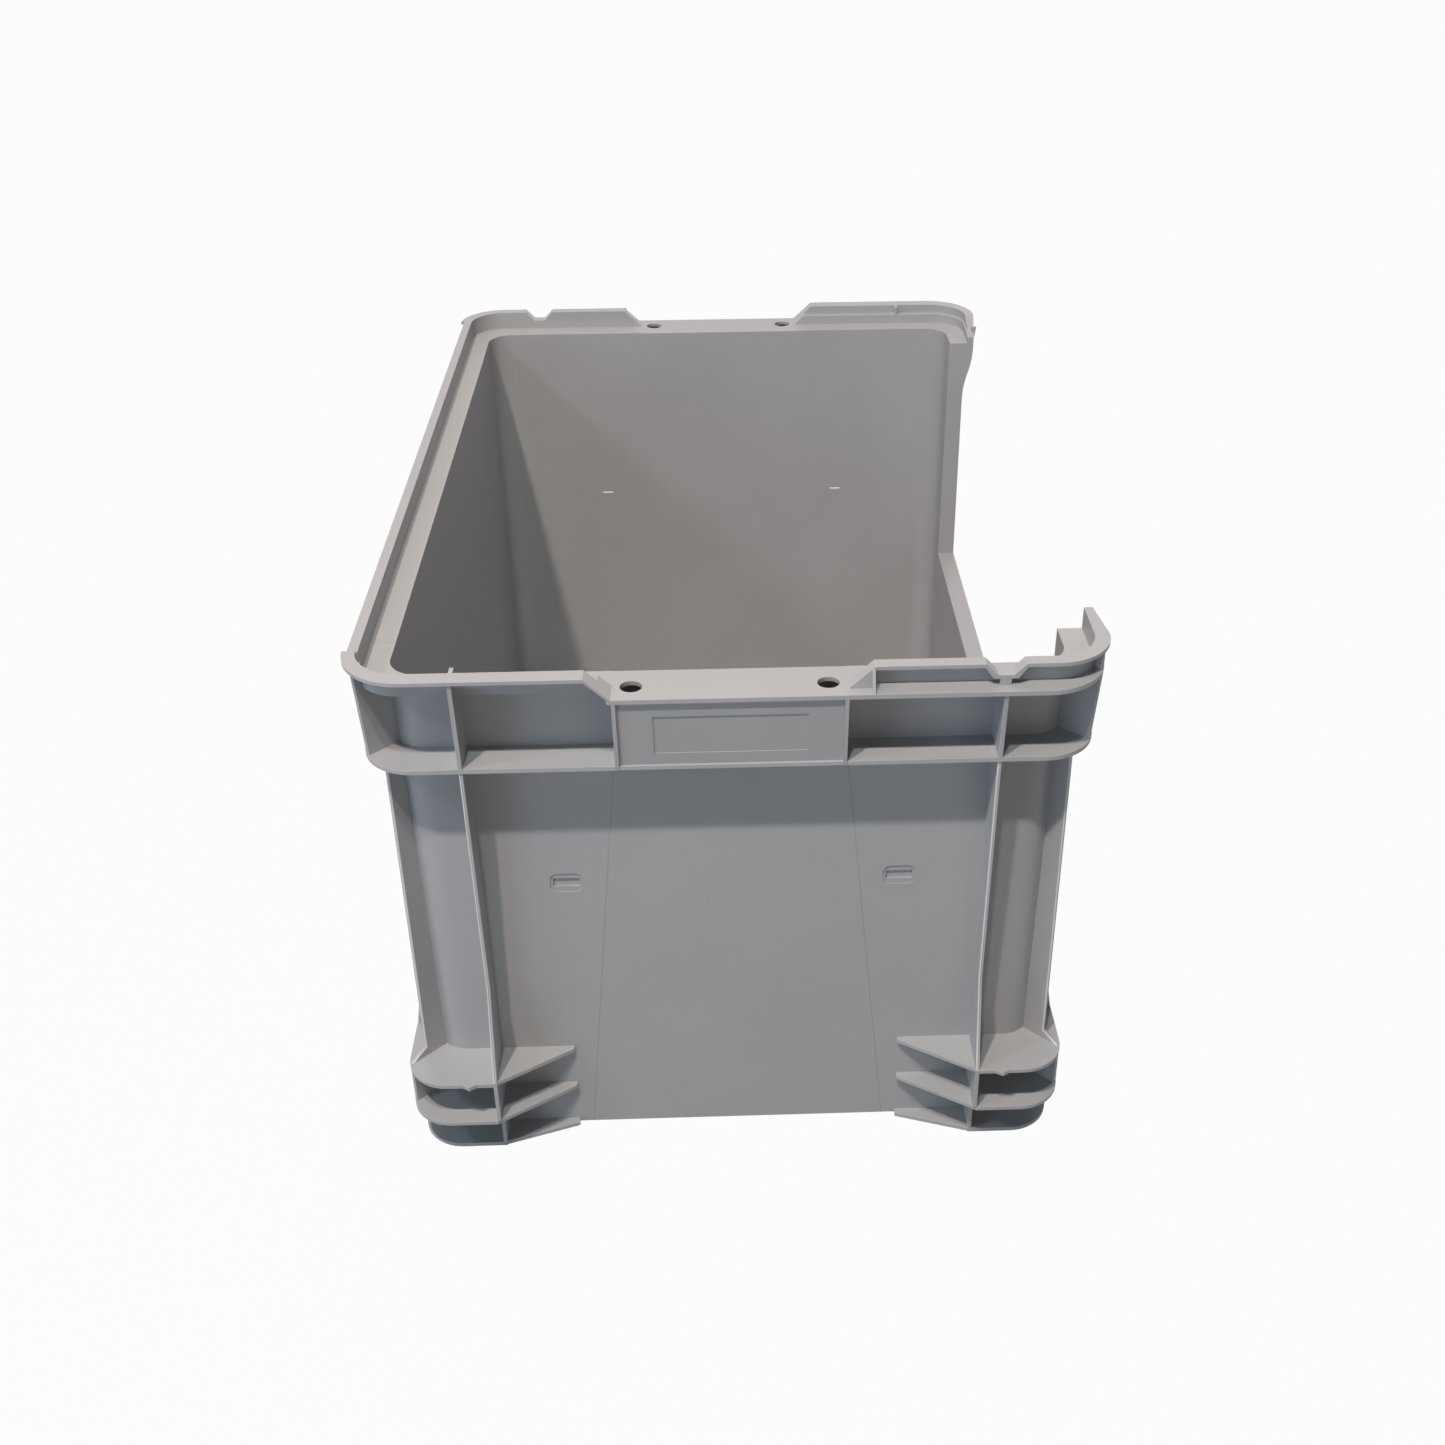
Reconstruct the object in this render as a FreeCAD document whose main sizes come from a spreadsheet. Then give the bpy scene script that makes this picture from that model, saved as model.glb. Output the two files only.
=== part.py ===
import FreeCAD, Part
import os
import re
import Sketcher
from FreeCAD import Rotation, Vector

# Open-fronted stacking crate, 600 x 400 mm footprint, one injection moulding in polypropylene.
# Its moulded features are modelled as separate solids that meet face to face.
#
# Frame: origin at the middle of the footprint, on the surface that the feet stand on.
#   +X along the long side, towards the right-hand end seen from the picking opening
#   -Y towards the picking opening, +Z up
# "End" sizes run along X from the rim's end edges, "side" sizes along Y from its long edges.
# Corners: front_left and rear_right carry the notched stacking lip, the other two the plain one,
# so the crate is the same after half a turn and stacks either way round.

SIZES = (
    # the whole
    ("length", 600.0, "outside length over the rim"),
    ("width", 400.0, "outside width over the rim"),
    ("rim_level", 321.0, "stacking ledge above the ground"),
    ("corner_round", 35.0, "outside corner radius of the rim"),
    # the shell
    ("wall_gauge", 2.7, "thickness of the walls"),
    ("end_wall_inset", 28.0, "end wall's outer face in from the rim edge, at the ledge"),
    ("side_wall_inset", 19.0, "long wall's outer face in from the rim edge, at the ledge"),
    ("end_draft", 7.0, "how far the end walls lean in from the ledge to the ground"),
    ("side_draft", 1.5, "how far the long walls lean in from the ledge to the ground"),
    ("wall_round", 20.0, "outside corner radius of the shell"),
    ("floor_level", 8.0, "underside of the floor above the ground"),
    ("floor_gauge", 2.8, "thickness of the floor"),
    ("grid_gauge", 2.0, "thickness of the ribs under the floor"),
    ("grid_columns", 7.0, "ribs under the floor that run across the crate"),
    ("grid_rows", 4.0, "ribs under the floor that run along the crate"),
    # the picking opening
    ("opening_inset", 67.0, "edges of the picking opening in from the end edges"),
    ("sill_level", 142.0, "top of the sill above the ground"),
    ("frame_inset", 10.0, "edge of the opening's frame in from the rim's long edge"),
    ("frame_gauge", 2.6, "thickness of the opening's frame"),
    ("shelf_side_inset", 3.4, "shelf under the notched lip, and the frame's top, in from the edge"),
    # the rim
    ("flange_gauge", 2.6, "thickness of ledge and lower rim flange"),
    ("band_depth", 46.0, "ledge to the lower rim flange's underside"),
    ("band_end_inset", 6.0, "lower rim flange in from the end edge"),
    ("band_side_inset", 5.5, "lower rim flange in from the long edge"),
    ("rib_gauge", 2.2, "thickness of the upright ribs"),
    ("rib_corner", 58.8, "upright ribs in from the edge that they run beside"),
    ("rib_lip_inset", 0.8, "channel ribs' edge at the top, in from the rim edge"),
    ("web_foot", 45.0, "corner webs' edge on the lower rim flange, out from the corner centre"),
    ("web_top", 48.5, "the same webs' edge under the lip"),
    ("band_bays", 5.0, "bays of the rear rim channel"),
    # the handles
    ("panel_length", 121.2, "length of the grip panel"),
    ("panel_gauge", 2.6, "thickness of the grip panel"),
    ("panel_setback", 1.6, "grip panel's face behind the edges that frame it"),
    ("recess_length", 80.0, "length of the bare field in the grip panel"),
    ("recess_height", 24.0, "height of that field"),
    ("recess_drop", 24.0, "ledge to the middle of that field"),
    ("recess_depth", 0.5, "depth of that field"),
    ("hole_bore", 11.5, "diameter of the holes beside the grip"),
    ("hole_pitch", 101.4, "distance between those holes"),
    ("hole_inset", 13.8, "those holes in from the end edge"),
    # the stacking lips
    ("lip_rise", 12.5, "stacking lip above the ledge"),
    ("lip_gauge", 2.2, "thickness of the lips"),
    ("step_rise", 6.5, "step inside the plain lip above the ledge"),
    ("plain_end_band", 9.7, "top band of the plain lip on the ends"),
    ("plain_side_band", 6.8, "top band of the plain lip on the long sides"),
    ("locate_end_inset", 15.4, "locating face of the plain lip in from the end edge"),
    ("locate_side_inset", 8.2, "locating face of every lip in from the long edge"),
    ("notched_end_start", 6.8, "outer edge of the notched lip in from the end edge"),
    ("notched_end_stop", 14.4, "inner face of the notched lip in from the end edge"),
    ("rear_lip_inset", 2.6, "outer edge of the rear lip in from the long edge"),
    ("lip_ramp_foot", 60.6, "foot of the lips' ramps, out from the middle"),
    ("lip_ramp_run", 13.4, "length of the lips' ramps"),
    ("fin_run", 6.8, "foot of the fin beside the notched lip's ramp"),
    ("fin_gauge", 1.5, "thickness of that fin"),
    ("notch_top", 20.6, "width of the notch at the top"),
    ("notch_base", 8.2, "width of the notch at its flat base"),
    ("notch_sill", 6.0, "flat base of the notch above the ledge"),
    ("stub_fall", 8.0, "fall of the plain lip beside the opening"),
    ("stub_run", 30.0, "length of that fall"),
    # the label slots
    ("slot_length", 15.0, "length of the label slots"),
    ("slot_height", 5.6, "height of the label slots"),
    ("slot_pitch", 187.0, "distance between the two slots of an end"),
    ("slot_drop", 136.0, "ledge to the middle of the slots"),
    ("slot_skin", 0.9, "plastic left behind a slot"),
    ("slit_length", 8.0, "length of the slit through that skin"),
    ("slit_height", 1.0, "height of that slit, at the slot's top"),
    ("dish_length", 18.4, "length of the shallow dish round a slot"),
    ("dish_height", 12.6, "height of that dish"),
    ("dish_round", 4.6, "corner radius of that dish"),
    ("dish_depth", 0.6, "depth of that dish"),
    # the feet
    ("foot_gauge", 2.6, "thickness of the foot flanges"),
    ("foot_end_inset", 2.2, "upper foot flanges in from the rim's end edges"),
    ("foot_side_inset", 6.3, "upper foot flanges in from the rim's long edges"),
    ("foot_round", 25.0, "outside corner radius of the foot flanges"),
    ("stack_play", 0.4, "clearance of the foot inside the stacking lips"),
    ("foot_top", 62.3, "top of the highest foot flange above the ground"),
    ("foot_middle", 33.1, "top of the middle foot flange above the ground"),
    ("foot_reach", 103.0, "tips of the foot flanges in from the edge that they run towards"),
    ("foot_tip_stand", 4.0, "blunt tip of the foot flanges out from the wall's foot"),
    ("foot_step_back", 13.0, "corner web's edge on the lowest flange, in from that on the others"),
    ("nub_width", 8.0, "width of the small peak on the highest flange's end edge"),
    ("nub_stand", 2.6, "how far that peak stands out"),
    ("nub_corner", 44.0, "those peaks in from the long edge"),
    # the upright ribs' free edge
    ("rib_top_inset", 6.6, "rib edge under the rim, in from the rim edge"),
    ("rib_waist_inset", 15.6, "rib edge at the waist, in from the rim edge"),
    ("rib_waist_level", 122.0, "waist of the ribs above the ground"),
    ("corner_rib_reach", 35.6, "free edge of the diagonal corner ribs, out from the corner centre"),
    ("corner_rib_foot", 46.5, "the same where they flare onto the highest foot flange"),
    ("corner_rib_flare", 6.0, "height of that flare"),
)
ALIASES = {alias for alias, value, note in SIZES}

DOC = FreeCAD.newDocument("StackingCrate")
NODES = []

# Expressions that several features share.
HALF_LENGTH = "length / 2"
HALF_WIDTH = "width / 2"
HALF_OPENING = "(length / 2 - opening_inset)"
LEDGE_UNDER = "rim_level - flange_gauge"
BAND_UNDER = "rim_level - band_depth"
BAND_TOP = "rim_level - band_depth + flange_gauge"
LIP_TOP = "rim_level + lip_rise"
LIP_UNDER = "rim_level + lip_rise - lip_gauge"
STEP_TOP = "rim_level + step_rise"
STEP_UNDER = "rim_level + step_rise - lip_gauge"
PANEL_HALF = "panel_length / 2"
RIB_SIDE_X = "(length / 2 - rib_corner)"
RIB_END_Y = "(width / 2 - rib_corner)"
NUB_Y = "(width / 2 - nub_corner)"
END_FACE_GROUND = "length / 2 - end_wall_inset - end_draft"
SIDE_FACE_GROUND = "width / 2 - side_wall_inset - side_draft"
CENTRE_X_GROUND = "length / 2 - end_wall_inset - end_draft - wall_round"
CENTRE_Y_GROUND = "width / 2 - side_wall_inset - side_draft - wall_round"
CENTRE_X_LEDGE = "length / 2 - end_wall_inset - wall_round"
CENTRE_Y_LEDGE = "width / 2 - side_wall_inset - wall_round"
FIN_ROOT = "(length / 2 - notched_end_start)"
RAMP_TOP = "lip_ramp_foot + lip_ramp_run"
END_RIB = (RIB_END_Y + " - rib_gauge / 2", RIB_END_Y + " + rib_gauge / 2")
SIDE_RIB = (RIB_SIDE_X + " - rib_gauge / 2", RIB_SIDE_X + " + rib_gauge / 2")
RIM = (HALF_LENGTH, HALF_WIDTH)
ALONG = ("-%s" % HALF_LENGTH, HALF_LENGTH)
ACROSS = ("-%s" % HALF_WIDTH, HALF_WIDTH)
OPENING = ("-%s" % HALF_OPENING, HALF_OPENING)
LOCATE = ("locate_end_inset", "locate_side_inset")
LOCATE_BACK = ("locate_end_inset - lip_gauge", "locate_side_inset - lip_gauge")
PLAIN_BAND = ("plain_end_band", "plain_side_band")
PLAIN_BACK = ("plain_end_band - lip_gauge", "plain_side_band - lip_gauge")
NOTCHED_EDGE = ("notched_end_start", "0")
NOTCHED_FACE = ("notched_end_stop", "locate_side_inset")
NOTCHED_BACK = ("notched_end_stop - lip_gauge", "locate_side_inset - lip_gauge")
CORNERS = (("front_left", -1, -1), ("rear_left", -1, 1), ("front_right", 1, -1), ("rear_right", 1, 1))
NOTCHED = ("front_left", "rear_right")
ROUGH = 100.0  # how large a sketch is drawn before its dimensions pull it into place


# ---- drawing helpers --------------------------------------------------------------------------

def in_sheet(text):
    """Point each size named in an expression at its cell."""
    def cell(found):
        word = found.group(0)
        return "Sizes." + word if word in ALIASES else word
    return re.sub(r"[a-z][a-z_]*", cell, text)


def bind(item, prop, text):
    item.setExpression(prop, in_sheet(text))


def size_sheet():
    sheet = DOC.addObject("Spreadsheet::Sheet", "Sizes")
    for row, (alias, value, note) in enumerate(SIZES, start=1):
        sheet.set("A%d" % row, note)
        sheet.set("B%d" % row, str(value))
        sheet.setAlias("B%d" % row, alias)
    DOC.recompute()
    return sheet


def span(sign, low, high):
    """A stretch of an axis, or the same stretch on its negative side."""
    return (low, high) if sign > 0 else ("-(%s)" % high, "-(%s)" % low)


def around(middle, half):
    """A stretch of an axis on both sides of a middle."""
    return ("%s - %s" % (middle, half), "%s + %s" % (middle, half))


def signed(sign, text):
    return text if sign > 0 else "-(%s)" % text


def mirrored(sign_u, sign_v, points):
    """The same corners on the wanted side of both axes."""
    return tuple((signed(sign_u, u), signed(sign_v, v)) for u, v in points)


def block(name, x, y, z):
    box = DOC.addObject("Part::Box", name)
    for prop, axis, (low, high) in (("Length", "x", x), ("Width", "y", y), ("Height", "z", z)):
        bind(box, prop, "(%s) - (%s)" % (high, low))
        bind(box, "Placement.Base." + axis, low)
    return box


def distance(sketch, kind, geo, pos, text):
    """Dimension a point of the sketch from the sketch's origin."""
    index = sketch.addConstraint(Sketcher.Constraint(kind, -1, 1, geo, pos, ROUGH))
    bind(sketch, "Constraints[%d]" % index, text)


def extrusion(name, sketch, depth):
    solid = DOC.addObject("Part::Extrusion", name)
    solid.Base = sketch
    solid.DirMode = "Normal"
    solid.Solid = True
    bind(solid, "LengthFwd", depth)
    return solid


def rounded_outline(name, half_x, half_y, radius, level):
    """A rectangle with rounded corners: a smaller rectangle, offset outwards by the radius."""
    core_x = "(%s - (%s))" % (half_x, radius)
    core_y = "(%s - (%s))" % (half_y, radius)
    signs = ((-1, -1), (1, -1), (1, 1), (-1, 1))
    core = polygon(name + "_core", tuple((signed(sx, core_x), signed(sy, core_y)) for sx, sy in signs))
    bind(core, "Placement.Base.z", level)
    return swell(name, core, radius)


def swell(name, core, radius):
    """An outline offset outwards, with round corners."""
    outline = DOC.addObject("Part::Offset2D", name)
    outline.Source = core
    outline.Join = "Arc"
    bind(outline, "Value", radius)
    return outline


def inset_slab(name, end_inset, side_inset, low, high, radius=None):
    """A rounded slab whose edges lie in from the rim's edges."""
    radius = radius or "corner_round - ((%s) + (%s)) / 2" % (end_inset, side_inset)
    outline = rounded_outline(name + "_outline", "%s - (%s)" % (HALF_LENGTH, end_inset),
                              "%s - (%s)" % (HALF_WIDTH, side_inset), radius, low)
    return extrusion(name, outline, "(%s) - (%s)" % (high, low))


def polygon(name, points):
    """A closed polygon sketch whose corners are all dimensioned from the sketch's origin."""
    sketch = DOC.addObject("Sketcher::SketchObject", name)
    count = len(points)
    turn = 360.0 / count
    start = [Rotation(Vector(0, 0, 1), turn * i).multVec(Vector(ROUGH, 0, 0)) for i in range(count)]
    for i in range(count):
        sketch.addGeometry(Part.LineSegment(start[i], start[(i + 1) % count]))
    for i in range(count):
        sketch.addConstraint(Sketcher.Constraint("Coincident", i, 2, (i + 1) % count, 1))
    for i, (u, v) in enumerate(points):
        distance(sketch, "DistanceX", i, 1, u)
        distance(sketch, "DistanceY", i, 1, v)
    return sketch


def prism(name, plane, points, low, high):
    """A polygon drawn in a plane through the origin and drawn out along the third axis."""
    sketch = polygon(name + "_outline", points)
    turns = {"XY": Rotation(), "XZ": Rotation(Vector(1, 0, 0), 90), "YZ": Rotation(0.5, 0.5, 0.5, 0.5)}
    sketch.Placement.Rotation = turns[plane]
    axis, place = {"XY": ("z", low), "XZ": ("y", high), "YZ": ("x", low)}[plane]
    bind(sketch, "Placement.Base." + axis, place)
    return extrusion(name, sketch, "(%s) - (%s)" % (high, low))


def cut(name, base, *tools):
    for number, tool in enumerate(tools, start=1):
        result = DOC.addObject("Part::Cut", name if number == len(tools) else "%s_cut%d" % (name, number))
        result.Base = base
        result.Tool = tool
        base = result
    return base


def common(name, *items):
    result = DOC.addObject("Part::MultiCommon", name)
    result.Shapes = list(items)
    return result


def fuse(name, *items):
    result = DOC.addObject("Part::MultiFuse", name)
    result.Shapes = list(items)
    result.Refine = True
    return result


def node(item, label):
    """Mark a finished feature as a sub-part."""
    item.Label = label
    NODES.append(item)
    return item


# ---- shared forms -----------------------------------------------------------------------------

def wedge(name, ground, ledge):
    """A block whose footprint grows evenly from (half x, half y) at the ground to that at the ledge."""
    solid = DOC.addObject("Part::Wedge", name)
    solid.Placement.Rotation = Rotation(Vector(1, 0, 0), 90)
    for axis, foot, head in (("X", ground[0], ledge[0]), ("Z", ground[1], ledge[1])):
        bind(solid, axis + "min", "-(%s)" % foot)
        bind(solid, axis + "max", foot)
        bind(solid, axis + "2min", "-(%s)" % head)
        bind(solid, axis + "2max", head)
    bind(solid, "Ymin", "0")
    bind(solid, "Ymax", "rim_level")
    return solid


def leaning_round(name, sx, sy, radius):
    """A rounded corner of the shell: a disc carried up along the lean of the two walls that it joins."""
    sketch = DOC.addObject("Sketcher::SketchObject", name + "_disc")
    sketch.addGeometry(Part.Circle(Vector(0, 0, 0), Vector(0, 0, 1), ROUGH))
    sketch.addConstraint(Sketcher.Constraint("Coincident", 0, 3, -1, 1))
    index = sketch.addConstraint(Sketcher.Constraint("Radius", 0, ROUGH))
    bind(sketch, "Constraints[%d]" % index, radius)
    bind(sketch, "Placement.Base.x", signed(sx, CENTRE_X_GROUND))
    bind(sketch, "Placement.Base.y", signed(sy, CENTRE_Y_GROUND))
    solid = DOC.addObject("Part::Extrusion", name)
    solid.Base = sketch
    solid.DirMode = "Custom"
    solid.Solid = True
    bind(solid, "Dir.x", signed(sx, "end_draft"))
    bind(solid, "Dir.y", signed(sy, "side_draft"))
    bind(solid, "Dir.z", "rim_level")
    return solid


def shell_form(name, inward):
    """The shell's outer or inner skin as a solid that widens towards the rim."""
    along = wedge(name + "_along", ("%s - %s" % (END_FACE_GROUND, inward), CENTRE_Y_GROUND),
                  ("%s + end_draft - %s" % (END_FACE_GROUND, inward), CENTRE_Y_LEDGE))
    across = wedge(name + "_across", (CENTRE_X_GROUND, "%s - %s" % (SIDE_FACE_GROUND, inward)),
                   (CENTRE_X_LEDGE, "%s + side_draft - %s" % (SIDE_FACE_GROUND, inward)))
    rounds = [leaning_round("%s_%s" % (name, corner), sx, sy, "wall_round - %s" % inward)
              for corner, sx, sy in CORNERS]
    return fuse(name, along, across, *rounds)


def corner_region(name, sx, sy, low, high):
    """Everything of one corner: past the opening's edge and past the grip."""
    return block(name, span(sx, HALF_OPENING, HALF_LENGTH), span(sy, PANEL_HALF, HALF_WIDTH), (low, high))


# ---- the shell --------------------------------------------------------------------------------

def walls(outer, inner, dish_floor, slot_floor):
    """Four flat walls and four rounded corners between the ground and the ledge."""
    corner_x = CENTRE_X_GROUND
    corner_y = CENTRE_Y_GROUND
    full = ("0", LEDGE_UNDER)
    tube = cut("ShellTube", common("ShellBelowLedge", outer, block("BelowLedge", ALONG, ACROSS, full)), inner)
    for label, sx in (("left_end_wall", -1), ("right_end_wall", 1)):
        flat = common(label + "_flat", tube, block(label + "_zone", span(sx, corner_x, HALF_LENGTH),
                      ("-(%s)" % corner_y, corner_y), full))
        node(slotted(label, flat, sx, dish_floor, slot_floor), label)
    for corner, sx, sy in CORNERS:
        zone = block("corner_wall_" + corner + "_zone", span(sx, corner_x, HALF_LENGTH),
                     span(sy, corner_y, HALF_WIDTH), full)
        node(common("corner_wall_" + corner, tube, zone), "corner_wall_" + corner)
    rear = block("rear_wall_zone", ("-(%s)" % corner_x, corner_x), ("0", HALF_WIDTH), full)
    node(common("rear_wall", tube, rear), "rear_wall")
    front = block("front_wall_zone", ("-(%s)" % corner_x, corner_x), span(-1, "0", HALF_WIDTH),
                  ("0", "sill_level"))
    node(common("front_wall", tube, front), "front_wall")
    for label, sx in (("front_wall_left_stub", -1), ("front_wall_right_stub", 1)):
        zone = block(label + "_zone", span(sx, HALF_OPENING, corner_x), span(-1, "0", HALF_WIDTH),
                     ("sill_level", LEDGE_UNDER))
        node(common(label, tube, zone), label)


def window(name, sx, y, z, radius=None):
    """A window right through an end wall and beyond it, with round corners if a radius is given."""
    shrink = radius or "0"
    low_y, high_y = ("%s + %s" % (y[0], shrink), "%s - %s" % (y[1], shrink))
    low_z, high_z = ("%s + %s" % (z[0], shrink), "%s - %s" % (z[1], shrink))
    low_x, high_x = span(sx, END_FACE_GROUND + " - wall_round", HALF_LENGTH)
    core = polygon(name + "_core", ((low_y, low_z), (high_y, low_z), (high_y, high_z), (low_y, high_z)))
    core.Placement.Rotation = Rotation(0.5, 0.5, 0.5, 0.5)
    bind(core, "Placement.Base.x", low_x)
    outline = swell(name + "_outline", core, radius) if radius else core
    return extrusion(name, outline, "(%s) - (%s)" % (high_x, low_x))


def slotted(label, flat, sx, dish_floor, slot_floor):
    """Sink two dished label slots into an end wall, each with a slit through to the inside."""
    middle_z = "rim_level - slot_drop"
    top_z = middle_z + " + slot_height / 2"
    tools = []
    for side, sy in (("front", -1), ("rear", 1)):
        name = "%s_%s" % (label, side)
        middle_y = signed(sy, "slot_pitch / 2")
        dish = window(name + "_dish", sx, around(middle_y, "dish_length / 2"),
                      around(middle_z, "dish_height / 2"), "dish_round")
        slot = window(name + "_slot", sx, around(middle_y, "slot_length / 2"),
                      around(middle_z, "slot_height / 2"))
        slit = window(name + "_slit", sx, around(middle_y, "slit_length / 2"),
                      (top_z + " - slit_height", top_z))
        tools += [cut(name + "_dish_bite", dish, dish_floor), cut(name + "_slot_bite", slot, slot_floor), slit]
    return cut(label, flat, fuse(label + "_bites", *tools))


def floor(inner):
    """The flat floor and the rib grid under it."""
    slab = block("FloorLayer", ALONG, ACROSS, ("floor_level", "floor_level + floor_gauge"))
    node(common("floor_panel", inner, slab), "floor_panel")
    sheet = DOC.getObject("Sizes")
    bars = []
    for i in range(1, int(sheet.grid_columns) + 1):
        middle = "(%d / (grid_columns + 1) - 1 / 2) * (length - 2 * (end_wall_inset + end_draft))" % i
        bars.append(block("GridColumn%d" % i, around(middle, "grid_gauge / 2"), ACROSS, ("0", "floor_level")))
    for i in range(1, int(sheet.grid_rows) + 1):
        middle = "(%d / (grid_rows + 1) - 1 / 2) * (width - 2 * (side_wall_inset + side_draft))" % i
        bars.append(block("GridRow%d" % i, ALONG, around(middle, "grid_gauge / 2"), ("0", "floor_level")))
    node(common("floor_ribs", inner, fuse("GridBars", *bars)), "floor_ribs")


# ---- the picking opening ----------------------------------------------------------------------

def opening_frame(outer):
    """The jambs and the sill that stand out round the picking opening; the jambs swing out under the rim."""
    frame_edge = "-(%s - frame_inset)" % HALF_WIDTH
    rim_edge = "-(%s - shelf_side_inset)" % HALF_WIDTH
    swing = "((frame_inset - shelf_side_inset) / 2)"
    rise = "((band_depth - flange_gauge) / 2)"
    sweep = "((%s ^ 2 + %s ^ 2) / (2 * %s))" % (rise, swing, swing)
    turn_level = "%s + %s" % (BAND_UNDER, rise)
    for label, sx in (("left_jamb", -1), ("right_jamb", 1)):
        across = span(sx, HALF_OPENING, HALF_OPENING + " + frame_gauge")
        straight = block(label + "_straight", across, (frame_edge, "0"), ("sill_level", BAND_UNDER))
        low_plate = block(label + "_low_plate", across, ("%s - %s" % (frame_edge, swing), "0"),
                          (BAND_UNDER, turn_level))
        hollow = lying_disc(label + "_hollow", across[0], "%s - %s" % (frame_edge, sweep), BAND_UNDER, sweep)
        high_plate = block(label + "_high_plate", across, (rim_edge, "0"), (turn_level, LEDGE_UNDER))
        swell = lying_disc(label + "_swell", across[0], "%s + %s" % (rim_edge, sweep), LEDGE_UNDER, sweep)
        low = cut(label + "_low", low_plate, hollow)
        high = common(label + "_high", high_plate, swell)
        node(cut(label, fuse(label + "_plate", straight, low, high), outer), label)
    sill = block("SillPlate", ("-(%s + frame_gauge)" % HALF_OPENING, HALF_OPENING + " + frame_gauge"),
                 (frame_edge, "0"), ("sill_level - frame_gauge", "sill_level"))
    node(cut("sill_flange", sill, outer), "sill_flange")


def lying_disc(name, x, y, level, radius):
    """A disc as thick as the opening's frame, its axis along the crate."""
    disc = DOC.addObject("Part::Cylinder", name)
    disc.Placement.Rotation = Rotation(Vector(0, 1, 0), 90)
    bind(disc, "Radius", radius)
    bind(disc, "Height", "frame_gauge")
    bind(disc, "Placement.Base.x", x)
    bind(disc, "Placement.Base.y", y)
    bind(disc, "Placement.Base.z", level)
    return disc


# ---- the rim ----------------------------------------------------------------------------------

def ledges(inner):
    """The stacking ledge: a flat flange from the inside to the lips, and the notched corners' outer shelf."""
    layer = (LEDGE_UNDER, "rim_level")
    wide = cut("WideLedge", inset_slab("WideLedgeSlab", "0", "shelf_side_inset", *layer), inner)
    narrow = cut("NarrowLedge", inset_slab("NarrowLedgeSlab", *LOCATE_BACK, *layer), inner)
    for corner, sx, sy in CORNERS:
        flange = wide if corner in NOTCHED else narrow
        label = "ledge_" + corner
        node(common(label, flange, corner_region(label + "_zone", sx, sy, *layer)), label)
    rear = block("ledge_rear_zone", OPENING, ("0", HALF_WIDTH + " - locate_side_inset"), layer)
    node(common("ledge_rear", narrow, rear), "ledge_rear")
    return wide


def panel_face(depth):
    """The grip panel's face at the band's underside and under the ledge, a depth in from its outer face."""
    return ("%s - band_end_inset - (%s)" % (HALF_LENGTH, depth), "%s - (%s)" % (HALF_LENGTH, depth))


def leaning_plate(name, sx, near, far, across):
    """A plate that follows the lean of the grip panel, between two depths in from its outer face."""
    outer_face = panel_face(near)
    inner_face = panel_face(far)
    points = ((outer_face[0], BAND_UNDER), (outer_face[1], LEDGE_UNDER), (inner_face[1], LEDGE_UNDER),
              (inner_face[0], BAND_UNDER))
    return prism(name, "XZ", tuple((signed(sx, u), v) for u, v in points), *across)


def grip_cheek(name, sx, sy):
    """The end of the grip: a plate from the wall to the panel's outer face."""
    foot_x, head_x = panel_face("0")
    points = ((END_FACE_GROUND, BAND_UNDER), (foot_x, BAND_UNDER), (head_x, LEDGE_UNDER),
              (END_FACE_GROUND, LEDGE_UNDER))
    return prism(name, "XZ", mirrored(sx, 1, points), *span(sy, PANEL_HALF + " - rib_gauge", PANEL_HALF))


def bare_field(name, sx):
    """The shallow field sunk into the grip panel."""
    plate = leaning_plate(name + "_plate", sx, "0", "panel_setback + recess_depth",
                          around("0", "recess_length / 2"))
    height = block(name + "_height", span(sx, "0", HALF_LENGTH), around("0", "recess_length / 2"),
                   around("rim_level - recess_drop", "recess_height / 2"))
    return common(name, plate, height)


def rim_hole(name, sx, sy):
    """A round hole through the ledge beside the grip."""
    bore = DOC.addObject("Part::Cylinder", name)
    bind(bore, "Radius", "hole_bore / 2")
    bind(bore, "Height", "3 * flange_gauge")
    bind(bore, "Placement.Base.x", signed(sx, HALF_LENGTH + " - hole_inset"))
    bind(bore, "Placement.Base.y", signed(sy, "hole_pitch / 2"))
    bind(bore, "Placement.Base.z", "rim_level - 2 * flange_gauge")
    return bore


def handles(outer, wide_ledge):
    """The shell grips: a panel across the channel, closed at both ends and open below for the fingers."""
    across = around("0", PANEL_HALF)
    sides = (("front", -1), ("rear", 1))
    foot_x = (panel_face("panel_setback + panel_gauge")[0], panel_face("0")[0])
    for label, sx in (("left_handle", -1), ("right_handle", 1)):
        top = common(label + "_top", wide_ledge, block(label + "_zone", span(sx, HALF_OPENING, HALF_LENGTH),
                                                       across, (LEDGE_UNDER, "rim_level")))
        panel = leaning_plate(label + "_panel", sx, "panel_setback", "panel_setback + panel_gauge", across)
        foot = block(label + "_foot", span(sx, *foot_x), across, (BAND_UNDER, BAND_TOP))
        cheeks = [grip_cheek("%s_cheek_%s" % (label, side), sx, sy) for side, sy in sides]
        bores = [rim_hole("%s_bore_%s" % (label, side), sx, sy) for side, sy in sides]
        hollow = cut(label + "_hollow", fuse(label + "_frame", panel, foot, *cheeks), outer)
        body = fuse(label + "_body", top, hollow)
        node(cut(label, body, bare_field(label + "_field", sx), *bores), label)


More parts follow.
